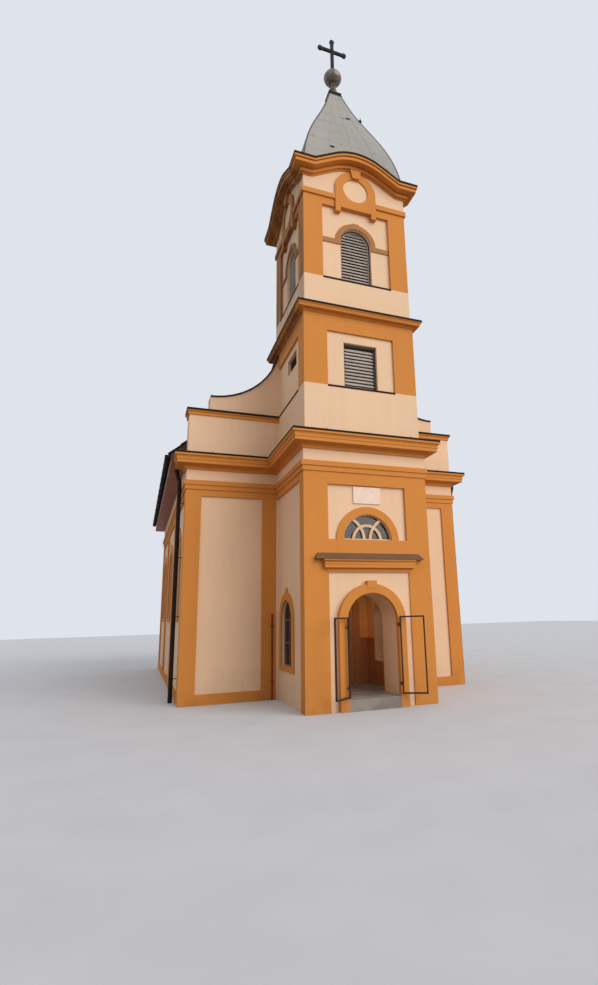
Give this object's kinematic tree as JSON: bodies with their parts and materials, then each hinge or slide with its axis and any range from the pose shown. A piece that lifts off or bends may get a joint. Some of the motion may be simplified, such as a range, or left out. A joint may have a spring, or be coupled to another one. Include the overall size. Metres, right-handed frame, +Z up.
{
  "type": "church",
  "caption": "Small village church with a square front tower, arched entrance with two open iron gate leaves, bell-shaped spire with a cross, and a pitched nave roof behind curved gables.",
  "frame": {"origin": "on the ground in the middle of the tower's front wall, under the entrance", "axes": "+X to the right seen from the street, +Y into the church, +Z up"},
  "size_m": [7.4, 12.4031, 16.9579],
  "materials": {
    "cream_plaster": "matte",
    "orange_plaster": "matte",
    "ochre_plaster": "matte",
    "floor_stone": "matte",
    "pink_marble": "satin",
    "roof_tiles": "matte",
    "dark_sheet": "satin",
    "hood_sheet": "satin",
    "spire_sheet": "satin",
    "black_iron": "satin",
    "gate_iron": "satin",
    "brown_wood": "satin",
    "dark_wood": "satin",
    "cream_paint": "satin",
    "window_glass": "gloss"
  },
  "bodies": {
    "church": {"attic_caps": "orange_plaster", "attic_walls": "cream_plaster", "belfry_frame": "orange_plaster", "belfry_medallions": "orange_plaster", "belfry_surrounds": "ochre_plaster", "belfry_walls": "cream_plaster", "curved_gables": "cream_plaster", "door_hood": "orange_plaster", "door_hood_cover": "hood_sheet", "door_surround": "orange_plaster", "eaves_boards": "brown_wood", "floor": "floor_stone", "gable_cornice": "orange_plaster", "gate_hinge_pins": "gate_iron", "gutters": "dark_sheet", "inner_door": "brown_wood", "inner_door_surround": "orange_plaster", "louvres": "dark_wood", "main_architrave": "orange_plaster", "main_cornice": "orange_plaster", "marble_plaque": "pink_marble", "middle_cornice": "orange_plaster", "middle_storey_frame": "orange_plaster", "middle_storey_walls": "cream_plaster", "nave_back_wall": "cream_plaster", "nave_frame": "orange_plaster", "nave_front_wall": "cream_plaster", "nave_roof": "roof_tiles", "nave_side_walls": "cream_plaster", "porch_wainscot": "brown_wood", "sheet_flashings": "dark_sheet", "spire": "spire_sheet", "spire_cross": "black_iron", "spire_finial": "dark_sheet", "tower_base_frame": "orange_plaster", "tower_front_piers": "cream_plaster", "tower_front_wall": "cream_plaster", "tower_side_walls": "cream_plaster", "wall_pipes": "dark_sheet", "window_frames": "cream_paint", "window_glass": "window_glass", "window_surrounds": "orange_plaster"},
    "left_gate": {"left_gate_leaf": "gate_iron"},
    "right_gate": {"right_gate_leaf": "gate_iron"}
  },
  "joints": [
    {"name": "left_gate_hinge", "type": "hinge", "parent": "church", "child": "left_gate", "pos_m": [-0.49, -0.1, 0.4], "axis": [0, 0, 1], "range_deg": [-25, 143]},
    {"name": "right_gate_hinge", "type": "hinge", "parent": "church", "child": "right_gate", "pos_m": [0.49, -0.1, 0.4], "axis": [0, 0, -1], "range_deg": [-18, 150]}
  ]
}
